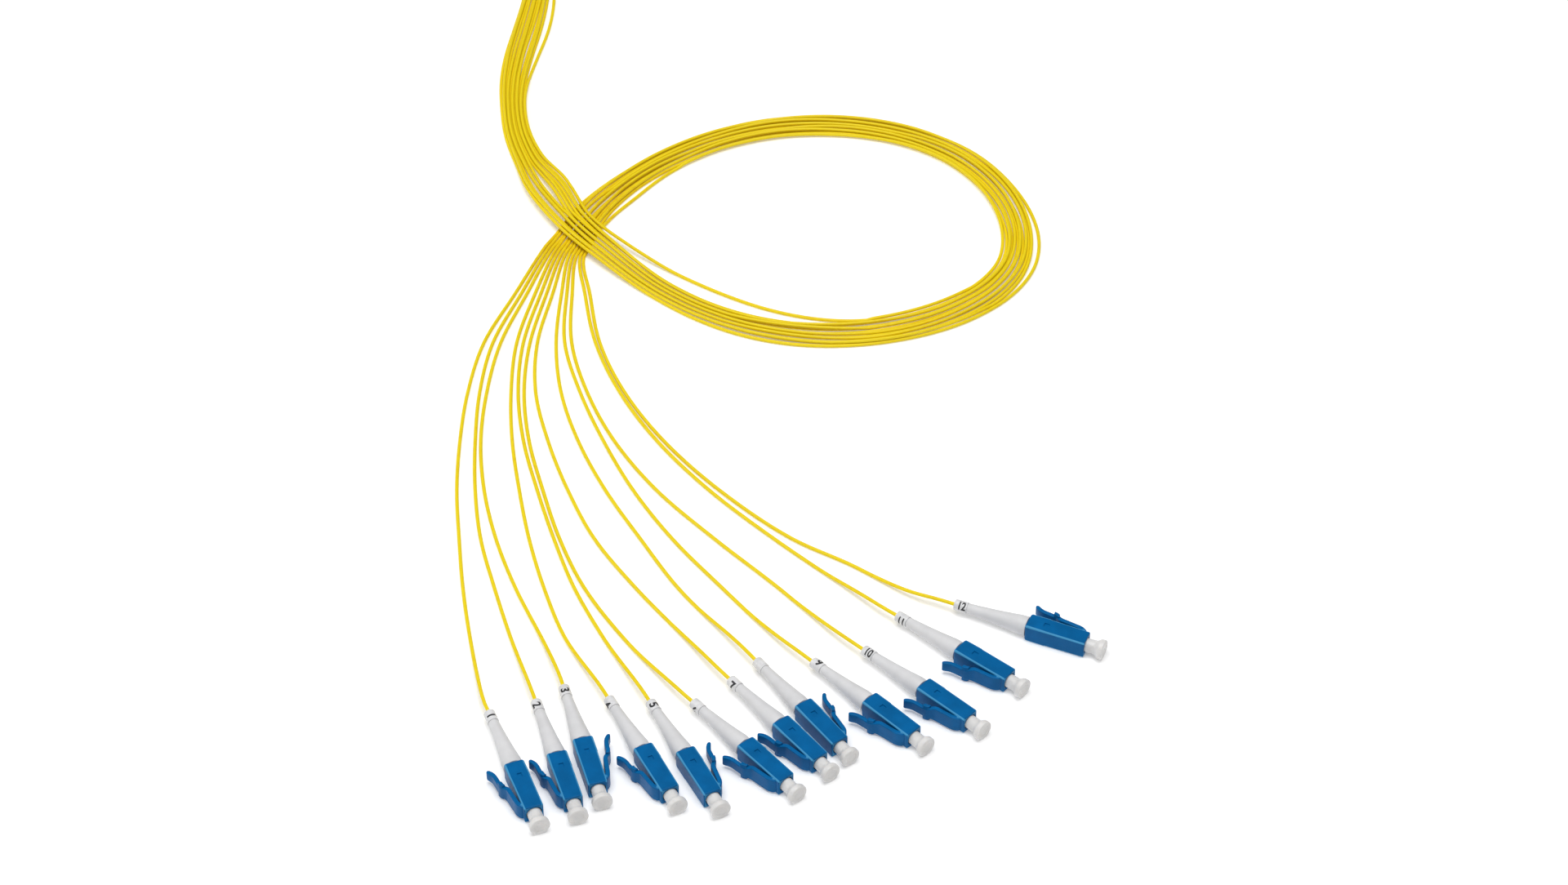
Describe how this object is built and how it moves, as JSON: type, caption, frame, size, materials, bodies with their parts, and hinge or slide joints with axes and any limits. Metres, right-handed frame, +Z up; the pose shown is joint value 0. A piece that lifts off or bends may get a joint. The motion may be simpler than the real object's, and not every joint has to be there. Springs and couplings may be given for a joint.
{
  "type": "fibre pigtail bundle",
  "caption": "Bundle of fibre pigtails: thin yellow buffered fibres in a loose loop and a tied coil, each with a blue latch plug, tapered white boot and pull-off dust cap.",
  "frame": {"origin": "on the floor under the middle of the box around the plugs, boots and caps", "axes": "+X to the right along the fan of plugs, +Y from the plugs to the loop and the coil, +Z up; all plugs point towards -Y and +X"},
  "size_m": [0.1566, 0.3955, 0.0084],
  "materials": {
    "plug_blue": "moulded semi-gloss blue plastic",
    "boot_white": "soft matt white moulded boot",
    "cap_clear_white": "milky translucent moulded plastic",
    "fibre_yellow": "smooth satin yellow tight buffer",
    "tie_grey": "pale matt strap"
  },
  "bodies": {
    "pigtails": {"housing_01": "plug_blue", "housing_02": "plug_blue", "housing_03": "plug_blue", "housing_04": "plug_blue", "housing_05": "plug_blue", "housing_06": "plug_blue", "housing_07": "plug_blue", "housing_08": "plug_blue", "housing_09": "plug_blue", "housing_10": "plug_blue", "housing_11": "plug_blue", "housing_12": "plug_blue", "boot_01": "boot_white", "boot_02": "boot_white", "boot_03": "boot_white", "boot_04": "boot_white", "boot_05": "boot_white", "boot_06": "boot_white", "boot_07": "boot_white", "boot_08": "boot_white", "boot_09": "boot_white", "boot_10": "boot_white", "boot_11": "boot_white", "boot_12": "boot_white", "fibre_01": "fibre_yellow", "fibre_02": "fibre_yellow", "fibre_03": "fibre_yellow", "fibre_04": "fibre_yellow", "fibre_05": "fibre_yellow", "fibre_06": "fibre_yellow", "fibre_07": "fibre_yellow", "fibre_08": "fibre_yellow", "fibre_09": "fibre_yellow", "fibre_10": "fibre_yellow", "fibre_11": "fibre_yellow", "fibre_12": "fibre_yellow", "coil": "fibre_yellow", "coil_tie_1": "tie_grey", "coil_tie_2": "tie_grey"},
    "cap_01": {"cap_01": "cap_clear_white"},
    "cap_02": {"cap_02": "cap_clear_white"},
    "cap_03": {"cap_03": "cap_clear_white"},
    "cap_04": {"cap_04": "cap_clear_white"},
    "cap_05": {"cap_05": "cap_clear_white"},
    "cap_06": {"cap_06": "cap_clear_white"},
    "cap_07": {"cap_07": "cap_clear_white"},
    "cap_08": {"cap_08": "cap_clear_white"},
    "cap_09": {"cap_09": "cap_clear_white"},
    "cap_10": {"cap_10": "cap_clear_white"},
    "cap_11": {"cap_11": "cap_clear_white"},
    "cap_12": {"cap_12": "cap_clear_white"}
  },
  "joints": [
    {"name": "cap_01_pull", "type": "slide", "parent": "pigtails", "child": "cap_01", "axis": [0.3584, -0.9336, 0], "range_m": [0, 0.012]},
    {"name": "cap_02_pull", "type": "slide", "parent": "pigtails", "child": "cap_02", "axis": [0.3007, -0.9537, 0], "range_m": [0, 0.012]},
    {"name": "cap_03_pull", "type": "slide", "parent": "pigtails", "child": "cap_03", "axis": [0.2756, -0.9613, 0], "range_m": [0, 0.012]},
    {"name": "cap_04_pull", "type": "slide", "parent": "pigtails", "child": "cap_04", "axis": [0.4462, -0.8949, 0], "range_m": [0, 0.012]},
    {"name": "cap_05_pull", "type": "slide", "parent": "pigtails", "child": "cap_05", "axis": [0.4462, -0.8949, 0], "range_m": [0, 0.012]},
    {"name": "cap_06_pull", "type": "slide", "parent": "pigtails", "child": "cap_06", "axis": [0.6428, -0.766, 0], "range_m": [0, 0.012]},
    {"name": "cap_07_pull", "type": "slide", "parent": "pigtails", "child": "cap_07", "axis": [0.6157, -0.788, 0], "range_m": [0, 0.012]},
    {"name": "cap_08_pull", "type": "slide", "parent": "pigtails", "child": "cap_08", "axis": [0.5736, -0.8192, 0], "range_m": [0, 0.012]},
    {"name": "cap_09_pull", "type": "slide", "parent": "pigtails", "child": "cap_09", "axis": [0.6884, -0.7254, 0], "range_m": [0, 0.012]},
    {"name": "cap_10_pull", "type": "slide", "parent": "pigtails", "child": "cap_10", "axis": [0.7193, -0.6947, 0], "range_m": [0, 0.012]},
    {"name": "cap_11_pull", "type": "slide", "parent": "pigtails", "child": "cap_11", "axis": [0.766, -0.6428, 0], "range_m": [0, 0.012]},
    {"name": "cap_12_pull", "type": "slide", "parent": "pigtails", "child": "cap_12", "axis": [0.9135, -0.4067, 0], "range_m": [0, 0.012]}
  ]
}
